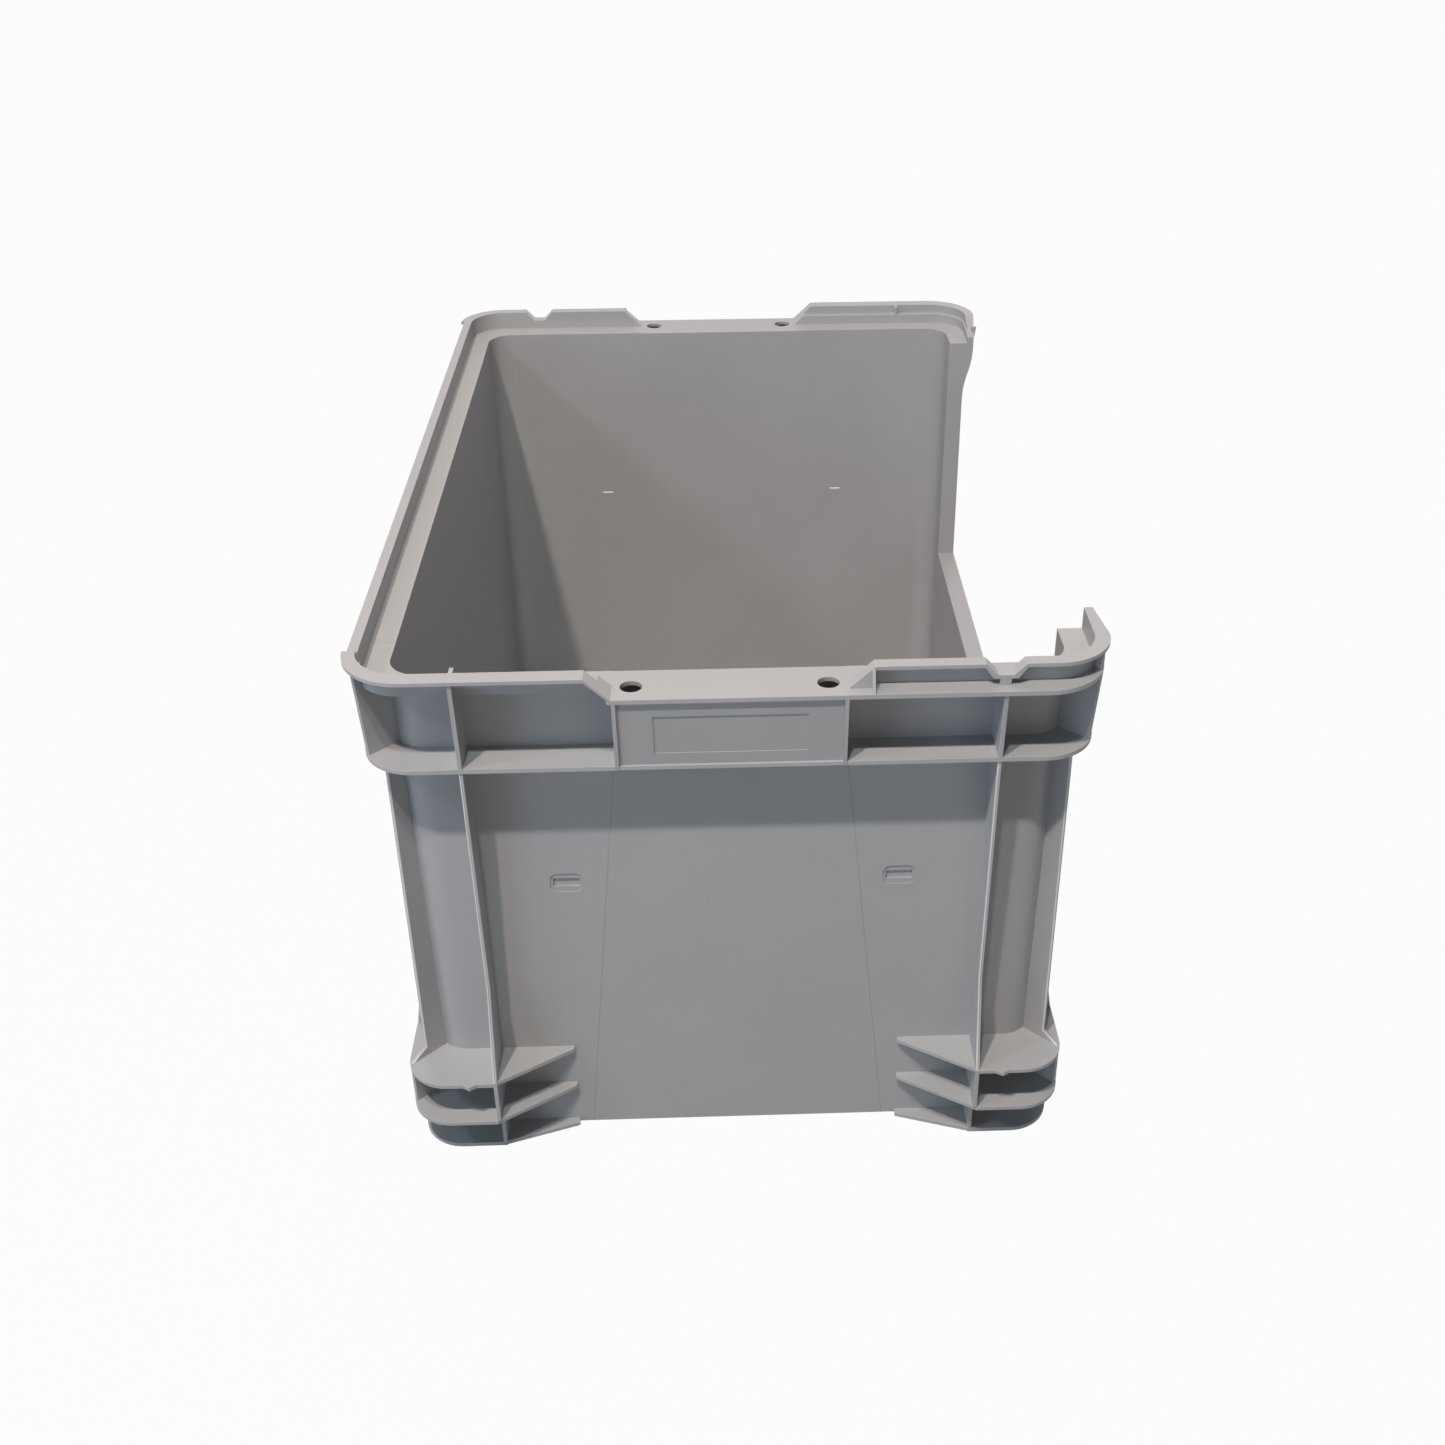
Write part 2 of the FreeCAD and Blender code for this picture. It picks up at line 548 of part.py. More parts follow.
def upright(name, sx, sy, on_end, low, high, inset):
    """A plain upright rib from inside the wall to its free edge."""
    if on_end:
        reach = (END_FACE_GROUND, "%s - (%s)" % (HALF_LENGTH, inset))
        return block(name, span(sx, *reach), span(sy, *END_RIB), (low, high))
    reach = (SIDE_FACE_GROUND, "%s - (%s)" % (HALF_WIDTH, inset))
    return block(name, span(sx, *SIDE_RIB), span(sy, *reach), (low, high))


def profiled_rib(name, sx, sy, on_end, points):
    """An upright rib drawn in its own plane; points are (out from the middle, level)."""
    if on_end:
        return prism(name, "XZ", mirrored(sx, 1, points), *span(sy, *END_RIB))
    return prism(name, "YZ", mirrored(sy, 1, points), *span(sx, *SIDE_RIB))


def leaning_rib(name, sx, sy, on_end, top):
    """A rib of the rim channel: its free edge leans out from the lower flange to the rim's edge."""
    half, wall, foot = ((HALF_LENGTH, END_FACE_GROUND, "band_end_inset") if on_end else
                        (HALF_WIDTH, SIDE_FACE_GROUND, "band_side_inset"))
    outline = ((wall, BAND_TOP), ("%s - %s" % (half, foot), BAND_TOP), ("%s - rib_lip_inset" % half, top),
               (wall, top))
    return profiled_rib(name, sx, sy, on_end, outline)


def corner_channel(label, sx, sy, outer, band, under_lip):
    """One corner's lower rim flange with its ribs, which run up under the lip where that is the plain one."""
    start = HALF_OPENING + " + frame_gauge" if sy < 0 else HALF_OPENING
    zone = block(label + "_zone", span(sx, start, HALF_LENGTH), span(sy, PANEL_HALF, HALF_WIDTH),
                 (BAND_UNDER, BAND_TOP))
    top = LIP_UNDER if under_lip else LEDGE_UNDER
    side_top = top if sy < 0 else LEDGE_UNDER
    web_points = (("0", BAND_TOP), ("web_foot", BAND_TOP), ("web_top", top), ("0", top))
    ribs = (leaning_rib(label + "_rib_end", sx, sy, True, top),
            leaning_rib(label + "_rib_side", sx, sy, False, side_top),
            diagonal(label + "_web", sx, sy, web_points))
    trimmed = cut(label + "_ribs", fuse(label + "_rib_set", *ribs), outer, *under_lip)
    node(fuse(label, common(label + "_flange", band, zone), trimmed), label)


def rear_channel(outer, band):
    """The rear's lower rim flange with its row of ribs."""
    zone = block("channel_rear_zone", OPENING, ("0", HALF_WIDTH), (BAND_UNDER, BAND_TOP))
    reach = (SIDE_FACE_GROUND, HALF_WIDTH + " - band_side_inset")
    ribs = []
    for i in range(int(DOC.getObject("Sizes").band_bays) + 1):
        middle = "(%d / band_bays - 1 / 2) * (length - 2 * opening_inset - rib_gauge)" % i
        ribs.append(block("channel_rear_rib%d" % i, around(middle, "rib_gauge / 2"), reach,
                          (BAND_TOP, LEDGE_UNDER)))
    trimmed = cut("channel_rear_ribs", fuse("channel_rear_rib_row", *ribs), outer)
    node(fuse("channel_rear", common("channel_rear_flange", band, zone), trimmed), "channel_rear")


def rim_channels(outer):
    """The lower rim flange with the upright ribs that tie it to the ledge."""
    slab = inset_slab("BandSlab", "band_end_inset", "band_side_inset", BAND_UNDER, BAND_TOP)
    band = cut("Band", slab, outer)
    under_plain = (inset_slab("UnderStep", *LOCATE_BACK, LEDGE_UNDER, LIP_TOP),
                   inset_slab("UnderBand", *PLAIN_BACK, STEP_UNDER, LIP_TOP))
    for corner, sx, sy in CORNERS:
        corner_channel("channel_" + corner, sx, sy, outer, band, () if corner in NOTCHED else under_plain)
    rear_channel(outer, band)


# ---- the stacking lips ------------------------------------------------------------------------

def ring(name, outside, inside, low, high):
    """A closed band between two inset outlines, each given as (end inset, side inset)."""
    return cut(name, inset_slab(name + "_out", outside[0], outside[1], low, high),
               inset_slab(name + "_in", inside[0], inside[1], low, high))


def ramp_zone(name, sx, sy, shift):
    """The end of the rim on one side of a lip's ramp; shift moves the sloping face along the rim."""
    foot = "lip_ramp_foot + %s" % shift
    top = "%s + %s" % (RAMP_TOP, shift)
    start = "%s - corner_round" % HALF_LENGTH if sy > 0 else HALF_OPENING
    points = ((foot, LEDGE_UNDER), (foot, "rim_level"), (top, LIP_TOP), (HALF_WIDTH, LIP_TOP),
              (HALF_WIDTH, LEDGE_UNDER))
    return prism(name, "YZ", mirrored(sy, 1, points), *span(sx, start, HALF_LENGTH))


def tapered_stub(name, sx, sy):
    """A front corner seen from above: past its round, the rim draws in towards the opening."""
    points = ((HALF_OPENING, "0"), (HALF_OPENING, HALF_WIDTH + " - shelf_side_inset"),
              (HALF_LENGTH + " - corner_round", HALF_WIDTH), (HALF_LENGTH, HALF_WIDTH), (HALF_LENGTH, "0"))
    return prism(name, "XY", mirrored(sx, sy, points), LEDGE_UNDER, LIP_TOP)


def plain_lips(outer):
    """The plain corner lips: a Z-shaped section with a step inside and a skirt outside."""
    edge = ("0", "0")
    section = fuse("PlainSection", ring("PlainTop", edge, PLAIN_BAND, LIP_UNDER, LIP_TOP),
                   ring("PlainRiser", PLAIN_BACK, PLAIN_BAND, STEP_TOP, LIP_UNDER),
                   ring("PlainStep", PLAIN_BACK, LOCATE, STEP_UNDER, STEP_TOP),
                   ring("PlainBase", LOCATE_BACK, LOCATE, "rim_level", STEP_UNDER))
    full = fuse("PlainFull", ring("PlainFullTop", edge, PLAIN_BAND, "rim_level", LIP_TOP),
                ring("PlainFullStep", edge, LOCATE, "rim_level", STEP_TOP),
                ring("PlainFullFoot", edge, LOCATE_BACK, LEDGE_UNDER, "rim_level"))
    for corner, sx, sy in CORNERS:
        if corner in NOTCHED:
            continue
        label = "lip_" + corner
        zone = ramp_zone(label + "_zone", sx, sy, "0")
        behind = ramp_zone(label + "_behind", sx, sy, "lip_gauge")
        run = common(label + "_run", section, zone)
        ramp = cut(label + "_ramp", common(label + "_ramp_end", full, zone), behind)
        gusset_reach = span(sx, HALF_LENGTH + " - locate_end_inset", HALF_LENGTH + " - plain_end_band")
        gusset = block(label + "_gusset", gusset_reach, span(sy, *END_RIB), (STEP_TOP, LIP_TOP))
        whole = fuse(label + "_whole", run, ramp, gusset)
        node(whole if sy > 0 else falling_stub(label, sx, sy, whole, full), label)


def falling_stub(label, sx, sy, whole, full):
    """Let a plain lip fall towards the opening and close its end beside the jamb."""
    stub = tapered_stub(label + "_taper", sx, sy)
    under = common(label + "_under", fall_zone(label + "_fall_zone", sx, sy, "0"), stub)
    fall_run = block(label + "_fall_run", span(sx, HALF_OPENING, HALF_OPENING + " + stub_run"),
                     span(sy, SIDE_FACE_GROUND, HALF_WIDTH), ("rim_level", LIP_TOP))
    end_zone = block(label + "_end_zone", span(sx, HALF_OPENING, HALF_OPENING + " + frame_gauge"),
                     span(sy, SIDE_FACE_GROUND, HALF_WIDTH), (LEDGE_UNDER, LIP_TOP))
    skin = cut(label + "_skin", common(label + "_skin_full", full, under, fall_run),
               fall_zone(label + "_deep", sx, sy, "lip_gauge"))
    end_face = common(label + "_end_face", full, under, end_zone)
    return fuse(label, common(label + "_low", whole, under), skin, end_face)


def fall_zone(name, sx, sy, shift):
    """All that stays under the fall of the plain lip towards the opening."""
    top = "%s - %s" % (LIP_TOP, shift)
    points = ((HALF_OPENING, LEDGE_UNDER), (HALF_OPENING, top + " - stub_fall"),
              (HALF_OPENING + " + stub_run", top), (HALF_LENGTH, top), (HALF_LENGTH, LEDGE_UNDER))
    return prism(name, "XZ", mirrored(sx, 1, points), *span(sy, "0", HALF_WIDTH))


def notched_lips():
    """The notched corner lips: a C-shaped section open outwards, with a V-notch, a ramp and a fin."""
    section = fuse("NotchedSection", ring("NotchedTop", NOTCHED_EDGE, NOTCHED_FACE, LIP_UNDER, LIP_TOP),
                   ring("NotchedBack", NOTCHED_BACK, NOTCHED_FACE, "rim_level", LIP_UNDER))
    full = ring("NotchedFull", NOTCHED_EDGE, NOTCHED_FACE, "rim_level", LIP_TOP)
    inside = inset_slab("NotchedInside", *NOTCHED_BACK, "rim_level", LIP_UNDER)
    web_points = (("0", "rim_level"), ("web_top", "rim_level"), ("web_top", LIP_UNDER), ("0", LIP_UNDER))
    for corner, sx, sy in CORNERS:
        if corner not in NOTCHED:
            continue
        label = "lip_" + corner
        zone = ramp_zone(label + "_zone", sx, sy, "0")
        reach = span(sx, HALF_LENGTH + " - notched_end_stop", HALF_LENGTH)
        notch = notch_form(label + "_notch", sy, reach, "0")
        run = cut(label + "_run", common(label + "_run_full", section, zone), notch)
        lining = common(label + "_lining", full, notch_form(label + "_lining_form", sy, reach, "lip_gauge"))
        neck = cut(label + "_neck", lining, notch)
        ramp_run = block(label + "_ramp_run", reach, span(sy, "lip_ramp_foot", RAMP_TOP),
                         ("rim_level", LIP_TOP))
        ramp = common(label + "_ramp", full, zone, ramp_run)
        web = cut(label + "_web", diagonal(label + "_web_plate", sx, sy, web_points), inside)
        whole = fuse(label + "_whole", run, neck, ramp, ramp_fin(label + "_fin", sx, sy), web)
        if sy < 0:
            whole = common(label + "_drawn_in", whole, tapered_stub(label + "_taper", sx, sy))
        node(whole, label)


def ramp_fin(name, sx, sy):
    """The thin three-cornered fin outside the notched lip, beside its ramp."""
    points = ((FIN_ROOT, "rim_level"), (FIN_ROOT, LIP_TOP), (FIN_ROOT + " + fin_run", "rim_level"))
    return prism(name, "XZ", mirrored(sx, 1, points), *span(sy, RAMP_TOP + " - fin_gauge", RAMP_TOP))


def notch_form(name, sy, reach, margin):
    """The V-notch with a flat base, in line with the end's upright rib."""
    base = around(RIB_END_Y, "(notch_base / 2 + %s)" % margin)
    top = around(RIB_END_Y, "(notch_top / 2 + %s)" % margin)
    sill = "rim_level + notch_sill - %s" % margin
    points = ((base[0], sill), (top[0], LIP_TOP), (top[1], LIP_TOP), (base[1], sill))
    return prism(name, "YZ", mirrored(sy, 1, points), *reach)


def rear_lip():
    """The straight lip along the rear, set in a little from the corner lips."""
    reach = "(%s - corner_round)" % HALF_LENGTH
    top = ring("RearTop", ("rear_lip_inset", "rear_lip_inset"), LOCATE, LIP_UNDER, LIP_TOP)
    leg = ring("RearLeg", LOCATE_BACK, LOCATE, "rim_level", LIP_UNDER)
    zone = block("RearZone", ("-%s" % reach, reach), ("0", HALF_WIDTH), ("rim_level", LIP_TOP))
    tongue = common("RearTongue", ring("RearTongueRing", LOCATE_BACK, LOCATE, LEDGE_UNDER, "rim_level"),
                    block("RearTongueZone", OPENING, ("0", HALF_WIDTH), (LEDGE_UNDER, "rim_level")))
    node(fuse("lip_rear", common("RearRun", fuse("RearSection", top, leg), zone), tongue), "lip_rear")


# ---- the feet and upright ribs ----------------------------------------------------------------

def foot_zone(name, sx, sy, insets, low, high):
    """A corner seen from above, its arms tapering from the outermost ribs to blunt tips on the walls."""
    end_edge = "%s - (%s)" % (HALF_LENGTH, insets[0])
    side_edge = "%s - (%s)" % (HALF_WIDTH, insets[1])
    tip_x = HALF_LENGTH + " - foot_reach"
    tip_y = HALF_WIDTH + " - foot_reach"
    points = ((tip_x, tip_y), (END_FACE_GROUND + " + foot_tip_stand", tip_y), (end_edge, END_RIB[1]),
              (HALF_LENGTH, END_RIB[1]), (HALF_LENGTH, HALF_WIDTH), (SIDE_RIB[1], HALF_WIDTH),
              (SIDE_RIB[1], side_edge), (tip_x, SIDE_FACE_GROUND + " + foot_tip_stand"))
    return prism(name, "XY", mirrored(sx, sy, points), low, high)


def foot_webs(label, sx, sy, low, high, insets, reach):
    """The upright webs of one storey of a foot: one across the end, one across the side, one diagonal."""
    return [upright(label + "_end", sx, sy, True, low, high, insets[0]),
            upright(label + "_side", sx, sy, False, low, high, insets[1]),
            diagonal(label + "_corner", sx, sy, (("0", low), (reach, low), (reach, high), ("0", high)))]


def foot_nub(name, sx, sy):
    """The small peak on the highest flange's end edge."""
    edge = HALF_LENGTH + " - foot_end_inset"
    foot = around(NUB_Y, "nub_width / 2")
    points = ((edge, foot[0]), (edge + " + nub_stand", NUB_Y), (edge, foot[1]),
              (edge + " - nub_stand", NUB_Y))
    return prism(name, "XY", mirrored(sx, sy, points), "foot_top - foot_gauge", "foot_top")


def feet(outer):
    """The corner feet: three flanges each; the lowest nests inside the stacking lips of a crate below."""
    high = ("foot_end_inset", "foot_side_inset")
    low = ("locate_end_inset + stack_play", "locate_side_inset + stack_play")
    flanges = [(tag, insets, top + " - foot_gauge", top) for tag, top, insets in
               (("high", "foot_top", high), ("middle", "foot_middle", high), ("low", "foot_gauge", low))]
    layers = {tag: inset_slab("Foot_" + tag, *insets, *layer, "foot_round")
              for tag, insets, *layer in flanges}
    for corner, sx, sy in CORNERS:
        label = "foot_" + corner
        pieces = [common("%s_flange_%s" % (label, tag), layers[tag],
                         foot_zone("%s_zone_%s" % (label, tag), sx, sy, insets, *layer))
                  for tag, insets, *layer in flanges]
        pieces += foot_webs(label + "_upper", sx, sy, "foot_middle", "foot_top", high, "corner_rib_foot")
        pieces += foot_webs(label + "_lower", sx, sy, "0", "foot_middle", low,
                            "corner_rib_foot - foot_step_back")
        pieces.append(foot_nub(label + "_nub", sx, sy))
        node(cut(label, fuse(label + "_stack", *pieces), outer), label)


def diagonal(name, sx, sy, points):
    """An upright plate through a corner of the shell at 45 degrees; points are (reach, level)."""
    sketch = polygon(name + "_outline", points)
    turn = {(1, 1): 45, (-1, 1): 135, (-1, -1): 225, (1, -1): 315}[(sx, sy)]
    sketch.Placement.Rotation = Rotation(Vector(0, 0, 1), turn).multiply(Rotation(Vector(1, 0, 0), 90))
    bind(sketch, "Placement.Base.x", signed(sx, CENTRE_X_GROUND))
    bind(sketch, "Placement.Base.y", signed(sy, CENTRE_Y_GROUND))
    plate = extrusion(name, sketch, "rib_gauge / 2")
    bind(plate, "LengthRev", "rib_gauge / 2")
    return plate


def rib_outline(half, wall, foot_inset):
    """The outline of an upright rib: narrow at the waist, flaring onto the foot."""
    return ((wall, "foot_top"), ("%s - %s" % (half, foot_inset), "foot_top"),
            ("%s - rib_waist_inset" % half, "rib_waist_level"), ("%s - rib_top_inset" % half, BAND_UNDER),
            (wall, BAND_UNDER))


def upright_ribs(outer):
    """The upright ribs from the feet to the rim: one on each side of a corner and one across it."""
    end_outline = rib_outline(HALF_LENGTH, END_FACE_GROUND, "foot_end_inset")
    side_outline = rib_outline(HALF_WIDTH, SIDE_FACE_GROUND, "foot_side_inset")
    corner_outline = (("0", "foot_top"), ("corner_rib_foot", "foot_top"),
                      ("corner_rib_reach", "foot_top + corner_rib_flare"), ("corner_rib_reach", BAND_UNDER),
                      ("0", BAND_UNDER))
    for corner, sx, sy in CORNERS:
        end_plate = profiled_rib("end_plate_" + corner, sx, sy, True, end_outline)
        side_plate = profiled_rib("side_plate_" + corner, sx, sy, False, side_outline)
        corner_plate = diagonal("corner_plate_" + corner, sx, sy, corner_outline)
        for kind, plate in (("end", end_plate), ("side", side_plate), ("corner", corner_plate)):
            label = "%s_rib_%s" % (kind, corner)
            node(cut(label, plate, outer), label)


# ---- build, check, write ----------------------------------------------------------------------

def build():
    size_sheet()
    outer = shell_form("ShellOuter", "0")
    inner = shell_form("ShellInner", "wall_gauge")
    walls(outer, inner, shell_form("DishFloor", "dish_depth"), shell_form("SlotFloor", "(wall_gauge - slot_skin)"))
    floor(inner)
    opening_frame(outer)
    wide_ledge = ledges(inner)
    handles(outer, wide_ledge)
    rim_channels(outer)
    plain_lips(outer)
    notched_lips()
    rear_lip()
    feet(outer)
    upright_ribs(outer)
    DOC.recompute()


def check():
    for item in DOC.Objects:
        if "Invalid" in item.State or "Error" in item.State:
            raise RuntimeError("%s did not build: %s" % (item.Name, item.State))
    for item in NODES:
        shape = item.Shape
        if shape.isNull() or not shape.isValid() or not shape.Solids:
            raise RuntimeError("%s has no sound solid" % item.Label)


def write():
    os.makedirs("parts", exist_ok=True)
    for item in NODES:
        item.Shape.exportStep("parts/%s.step" % item.Label)
        print("%-24s solids %d  volume %10.1f mm3" % (item.Label, len(item.Shape.Solids), item.Shape.Volume))


build()
check()
write()
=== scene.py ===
# %% [markdown]
# # An open-fronted stacking crate in grey polypropylene
#
# The real crate is one injection moulding. Its solid model comes as a fixed frame of features
# that meet face to face: walls, floor, rim, lips, grips, ribs and feet. The frame has perfectly
# sharp edges, and no moulding has those: steel moulds are cut with small radii, and plastic
# shrinks as it cools. So this script copies each group of features, welds the copies where the
# plastic is continuous, and rounds only the edges that are open to the air.
#
# First the frame is loaded. The dressed crate may not outgrow it.

# %% Load the frame
import math
import bmesh
import bpy
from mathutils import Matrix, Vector
from mathutils.bvhtree import BVHTree


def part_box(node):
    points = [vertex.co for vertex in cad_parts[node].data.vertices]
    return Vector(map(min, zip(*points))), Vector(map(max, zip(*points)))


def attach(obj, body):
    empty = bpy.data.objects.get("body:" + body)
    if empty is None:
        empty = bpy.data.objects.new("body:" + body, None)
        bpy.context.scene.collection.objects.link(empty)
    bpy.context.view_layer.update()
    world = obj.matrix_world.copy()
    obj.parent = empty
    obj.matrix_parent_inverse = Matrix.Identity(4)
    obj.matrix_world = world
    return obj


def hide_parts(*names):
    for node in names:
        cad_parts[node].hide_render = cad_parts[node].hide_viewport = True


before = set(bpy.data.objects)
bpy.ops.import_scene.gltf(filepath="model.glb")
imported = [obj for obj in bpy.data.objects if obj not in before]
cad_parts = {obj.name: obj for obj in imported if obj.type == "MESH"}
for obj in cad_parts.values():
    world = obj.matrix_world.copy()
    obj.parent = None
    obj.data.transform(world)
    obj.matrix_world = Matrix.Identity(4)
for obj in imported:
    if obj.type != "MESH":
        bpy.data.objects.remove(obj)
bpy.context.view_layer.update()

MM = 0.001

# %% [markdown]
# ## Colour
#
# Blender mixes light in linear numbers, while a colour picker gives sRGB hex. One function
# turns the one into the other, so that each colour below can be read as it looks.

# %% From sRGB hex to linear
def linear(hex_text):
    parts = [int(hex_text[i:i + 2], 16) / 255 for i in (1, 3, 5)]
    return [c / 12.92 if c <= 0.04045 else ((c + 0.055) / 1.055) ** 2.4 for c in parts] + [1.0]


# %% [markdown]
# ## The material: moulded polypropylene with a spark-eroded grain
#
# Polypropylene is a slightly waxy plastic with an IOR of about 1.49. The mould's faces were
# spark-eroded, which leaves a fine, even, matt grain on the crate: highlights are broad and
# soft. The real grain is about 0.05 mm, too fine for a picture of the whole crate, so it is
# drawn at 0.6 mm and kept very shallow.
#
# The colour isn't quite even. Recycled granulate and pigment mix in slow clouds, a few
# centimetres wide, and dust and rubbing leave paler patches with faint scuffs.
#
# Two more marks are drawn in the colour. The mould's slide leaves a faint line on the
# outside of each end wall, a pair of lines that lean towards each other at the top. It is drawn
# from the place on the wall, and only on the shell. The rounded edges have a paler, smoother
# material of their own: its pale colour is a painted highlight, where the rounds catch the light.

# %% A helper that adds a node with its settings and links
def add_node(tree, kind, settings=None, sockets=None, links=None):
    node = tree.nodes.new(kind)
    for name, value in (settings or {}).items():
        setattr(node, name, value)
    for name, value in (sockets or {}).items():
        node.inputs[name].default_value = value
    for name, source in (links or {}).items():
        tree.links.new(source, node.inputs[name])
    return node


# %% Moulded polypropylene
PP_IOR = 1.49
PIGMENT_DARK = linear("#A0A0A1")
PIGMENT_LIGHT = linear("#AAAAAA")
RUBBED = linear("#B8B4B1")
CLOUD_WIDTH = 70 * MM
SCUFF_WIDTH = 9 * MM
GRAIN_WIDTH = 0.6 * MM
GRAIN_DEPTH = 0.02 * MM
SLIDE_HALF = 62 * MM
SLIDE_SPREAD = 0.098
SLIDE_TOP = 275 * MM
LINE_WIDTH = 0.35 * MM
LINE_SHADE = linear("#86878A")
WALL_FOOT = 265 * MM
WALL_LEAN = 7.0 / 321.0
WALL_SKIN = 0.8 * MM
# The pale colour of the rounded edges: a painted highlight where the rounds catch the light.
PAINTED_EDGE_HIGHLIGHT = linear("#D4D1CF")


def sum_node(tree, operation, first, second, third=None):
    """One Math node; each input is a number or another node's output."""
    node = add_node(tree, "ShaderNodeMath", {"operation": operation})
    for index, value in enumerate((first, second, third)):
        if isinstance(value, (int, float)):
            node.inputs[index].default_value = value
        elif value is not None:
            tree.links.new(value, node.inputs[index])
    return node.outputs[0]


def insert_line(tree, place):
    """1 along the faint line that the mould's slide leaves on the outside of both end walls."""
    axis = add_node(tree, "ShaderNodeSeparateXYZ", links={"Vector": place}).outputs
    along = sum_node(tree, "ABSOLUTE", axis["X"], None)
    across = sum_node(tree, "ABSOLUTE", axis["Y"], None)
    drift = sum_node(tree, "MULTIPLY_ADD", axis["Z"], SLIDE_SPREAD, across)
    from_line = sum_node(tree, "SUBTRACT", drift, SLIDE_HALF + SLIDE_SPREAD * SLIDE_TOP)
    off = sum_node(tree, "ABSOLUTE", from_line, None)
    line = add_node(tree, "ShaderNodeMapRange",
                    sockets={"From Max": LINE_WIDTH, "To Min": 1.0, "To Max": 0.0},
                    links={"Value": off}).outputs["Result"]
    lean = sum_node(tree, "MULTIPLY_ADD", axis["Z"], -WALL_LEAN, along)
    outside = sum_node(tree, "GREATER_THAN", lean, WALL_FOOT - WALL_SKIN)
    below = sum_node(tree, "LESS_THAN", axis["Z"], SLIDE_TOP)
    return sum_node(tree, "MULTIPLY", sum_node(tree, "MULTIPLY", line, outside), below)


def moulded_polypropylene(name, with_line):
    """The crate's plastic, clouded, scuffed and grained; with_line adds the slide's line."""
    material = bpy.data.materials.new(name)
    material.use_nodes = True
    tree = material.node_tree
    tree.nodes.clear()
    place = add_node(tree, "ShaderNodeTexCoord").outputs["Object"]
    clouds = add_node(tree, "ShaderNodeTexNoise",
                      sockets={"Scale": 1 / CLOUD_WIDTH, "Detail": 4.0, "Roughness": 0.55},
                      links={"Vector": place})
    pigment = add_node(tree, "ShaderNodeMix", {"data_type": "RGBA"},
                       links={0: clouds.outputs["Fac"]})
    pigment.inputs["A"].default_value = PIGMENT_DARK
    pigment.inputs["B"].default_value = PIGMENT_LIGHT
    stretched = add_node(tree, "ShaderNodeMapping",
                         sockets={"Rotation": (0.4, 0.3, 0.7), "Scale": (1.0, 5.0, 1.0)},
                         links={"Vector": place})
    scuffs = add_node(tree, "ShaderNodeTexNoise",
                      sockets={"Scale": 1 / SCUFF_WIDTH, "Detail": 6.0, "Roughness": 0.7},
                      links={"Vector": stretched.outputs["Vector"]})
    worn = add_node(tree, "ShaderNodeMapRange",
                    sockets={"From Min": 0.58, "From Max": 0.78, "To Max": 0.35},
                    links={"Value": scuffs.outputs["Fac"]})
    colour = add_node(tree, "ShaderNodeMix", {"data_type": "RGBA"},
                      links={0: worn.outputs["Result"], "A": pigment.outputs["Result"]})
    colour.inputs["B"].default_value = RUBBED
    if with_line:
        mark = insert_line(tree, place)
        colour = add_node(tree, "ShaderNodeMix", {"data_type": "RGBA"},
                          links={0: mark, "A": colour.outputs["Result"]})
        colour.inputs["B"].default_value = LINE_SHADE
    rough = add_node(tree, "ShaderNodeMapRange", sockets={"To Min": 0.38, "To Max": 0.54},
                     links={"Value": clouds.outputs["Fac"]})
    grain = add_node(tree, "ShaderNodeTexNoise", sockets={"Scale": 1 / GRAIN_WIDTH, "Detail": 2.0},
                     links={"Vector": place})
    bump = add_node(tree, "ShaderNodeBump", sockets={"Strength": 0.6, "Distance": GRAIN_DEPTH},
                    links={"Height": grain.outputs["Fac"]})
    plastic = add_node(tree, "ShaderNodeBsdfPrincipled",
                       sockets={"IOR": PP_IOR, "Metallic": 0.0},
                       links={"Base Color": colour.outputs["Result"], "Roughness": rough.outputs["Result"],
                              "Normal": bump.outputs["Normal"]})
    add_node(tree, "ShaderNodeOutputMaterial", links={"Surface": plastic.outputs["BSDF"]})
    return material


def edge_polypropylene_with_painted_highlight(name):
    """The plastic of the rounded edges, paler and smoother; the pale colour is a painted highlight."""
    material = bpy.data.materials.new(name)
    material.use_nodes = True
    tree = material.node_tree
    tree.nodes.clear()
    plastic = add_node(tree, "ShaderNodeBsdfPrincipled",
                       sockets={"Base Color": PAINTED_EDGE_HIGHLIGHT, "Roughness": 0.34, "IOR": PP_IOR,
                                "Metallic": 0.0})
    add_node(tree, "ShaderNodeOutputMaterial", links={"Surface": plastic.outputs["BSDF"]})
    return material


# The rounded edges' material; its pale colour is a painted highlight.
POLYPROPYLENE_PAINTED_HIGHLIGHT = edge_polypropylene_with_painted_highlight("moulded_polypropylene_painted_edge_highlight")
POLYPROPYLENE = moulded_polypropylene("moulded_polypropylene_spark_eroded", False)
POLYPROPYLENE_LINED = moulded_polypropylene("moulded_polypropylene_with_slide_line", True)

# %% [markdown]
# ## Which edges are open to the air
#
# Two features that meet leave a seam in the frame, but the real crate has no seam there. An
# edge may only be rounded where the air reaches both of its faces. So the script asks, for a
# point just outside each face beside the edge, whether it lies inside any other feature.
# A bounding-volume tree of each feature answers that fast: a ray from a point inside a closed
# solid leaves it through an odd number of faces.

# %% Trees of all the features
TREES = {}
for node_name, node_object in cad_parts.items():
    mesh = node_object.data
    verts = [node_object.matrix_world @ v.co for v in mesh.vertices]
    tree = BVHTree.FromPolygons(verts, [tuple(p.vertices) for p in mesh.polygons])
    low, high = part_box(node_name)
    TREES[node_name] = (tree, Vector(low), Vector(high))
print(len(TREES), "features in the frame")

RAY = Vector((0.3012, 0.2231, 0.9270)).normalized()


